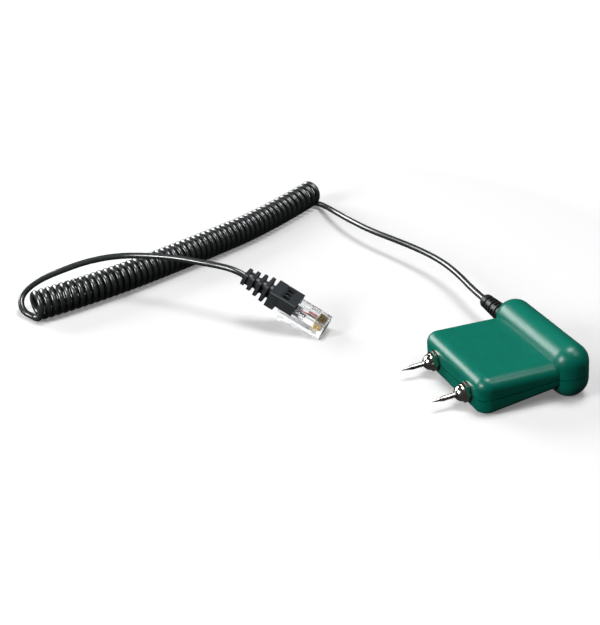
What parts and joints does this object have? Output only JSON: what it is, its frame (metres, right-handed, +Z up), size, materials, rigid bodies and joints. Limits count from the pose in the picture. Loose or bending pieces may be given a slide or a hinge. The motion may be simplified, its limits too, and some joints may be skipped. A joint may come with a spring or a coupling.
{
  "type": "moisture_probe",
  "caption": "Remote pin moisture probe: green T-shaped two-shell head with steel needles in chrome nuts, ribbed strain relief, black curly cord and clear modular plug in a ribbed boot.",
  "frame": {"origin": "On the surface that the probe rests on, below the middle of the probe head without its cord.", "axes": "+Z up, +X along the bar of the T away from the cord, -Y the way the needles point."},
  "size_m": [0.2359, 0.1956, 0.0254],
  "materials": {
    "housing": "satin",
    "steel": "satin",
    "chrome": "polished",
    "brass": "satin",
    "black_plastic": "matte",
    "board": "gloss",
    "cord": "gloss",
    "relief_rubber": "satin",
    "boot": "satin",
    "jacket_end": "satin",
    "clear": "clear",
    "gold": "polished",
    "red_wire": "gloss",
    "black_wire": "gloss",
    "white_wire": "gloss",
    "guide": "satin"
  },
  "bodies": {
    "root": {"upper_shell": "housing", "lower_shell": "housing", "shell_screws": "steel", "electrode_collar_left": "black_plastic", "electrode_collar_right": "black_plastic", "electrode_socket_left": "brass", "electrode_socket_right": "brass", "solder_tags": "brass", "circuit_board": "board", "board_components": "black_plastic", "board_screws": "steel", "electrode_leads": "red_wire", "cord_conductors": "white_wire", "strain_relief": "relief_rubber", "cord_lead_in": "cord", "cord_ferrule": "steel", "cord_probe_tail": "cord", "cord_coil": "cord", "cord_plug_tail": "cord", "plug_boot": "boot", "plug_jacket": "jacket_end", "plug_body": "clear", "plug_contacts": "gold", "plug_conductor_red": "red_wire", "plug_conductor_black": "black_wire", "plug_conductor_white": "white_wire", "plug_wire_guide": "guide"},
    "pin_left": {"contact_pin_left": "steel"},
    "nut_left": {"pin_nut_left": "chrome"},
    "pin_right": {"contact_pin_right": "steel"},
    "nut_right": {"pin_nut_right": "chrome"},
    "latch": {"plug_latch": "clear"}
  },
  "joints": [
    {"name": "pin_left_slide", "type": "slide", "parent": "root", "child": "pin_left", "axis": [0, -0.9952, -0.0982], "range_m": [0, 0.0024]},
    {"name": "nut_left_spin", "type": "hinge", "parent": "pin_left", "child": "nut_left", "pos_m": [-0.0132, -0.01711, 0.00623], "axis": [0, -0.9952, -0.0982], "range_deg": [0, 1080]},
    {"name": "pin_right_slide", "type": "slide", "parent": "root", "child": "pin_right", "axis": [0, -0.9952, -0.0982], "range_m": [0, 0.0024]},
    {"name": "nut_right_spin", "type": "hinge", "parent": "pin_right", "child": "nut_right", "pos_m": [0.0132, -0.01711, 0.00623], "axis": [0, -0.9952, -0.0982], "range_deg": [0, 1080]},
    {"name": "latch_bend", "type": "hinge", "parent": "root", "child": "latch", "pos_m": [-0.06516, -0.04866, 0.00114], "axis": [-0.7431, 0.6691, 0], "range_deg": [0, 7], "stiffness_Nm_per_rad": 0.02}
  ],
  "couplings": [
    {"joint": "nut_left_spin", "follows": "pin_left_slide", "rad_per_m": 7854},
    {"joint": "nut_right_spin", "follows": "pin_right_slide", "rad_per_m": 7854}
  ]
}
